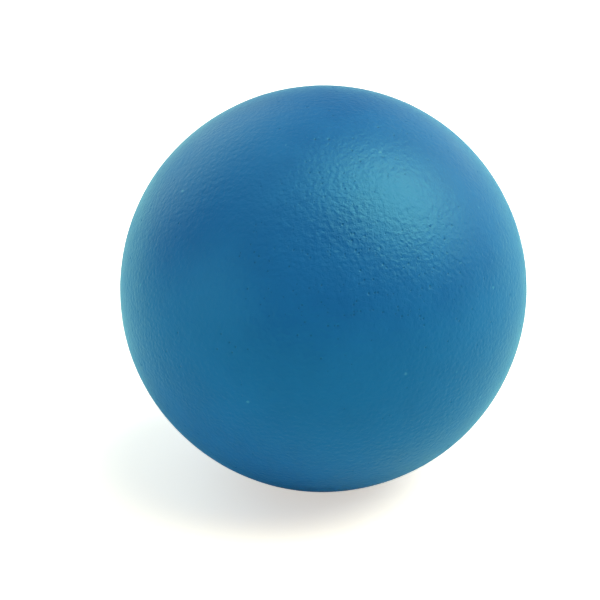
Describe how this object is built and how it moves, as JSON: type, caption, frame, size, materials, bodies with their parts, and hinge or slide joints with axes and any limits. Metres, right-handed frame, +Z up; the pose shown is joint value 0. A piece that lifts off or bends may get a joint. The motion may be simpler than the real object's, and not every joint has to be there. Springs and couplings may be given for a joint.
{
  "type": "stress ball",
  "caption": "Soft round foam squeeze ball with a satin moulded skin, standing on its trimmed gate flat.",
  "frame": {"origin": "centre of the trimmed gate's flat face, at the bottom of the ball, which stands on it", "axes": "+Z up through the gate and the ball's centre; the ball is the same all round, so +X and +Y are any two level directions at right angles"},
  "size_m": [0.063, 0.063, 0.0627],
  "materials": {
    "skin": "satin blue skin with a fine wrinkle and pin pores",
    "foam": "matte cream foam with open cut cells"
  },
  "bodies": {
    "lower_half": {"skin_lower": "skin", "foam_core": "foam", "gate_plug": "foam"},
    "upper_half": {"skin_upper": "skin"}
  },
  "joints": [
    {"name": "squeeze", "type": "slide", "parent": "lower_half", "child": "upper_half", "axis": [0, 0, -1], "range_m": [0, 0.025], "stiffness_N_per_m": 2000, "deforming": ["foam_core", "skin_lower"]}
  ]
}
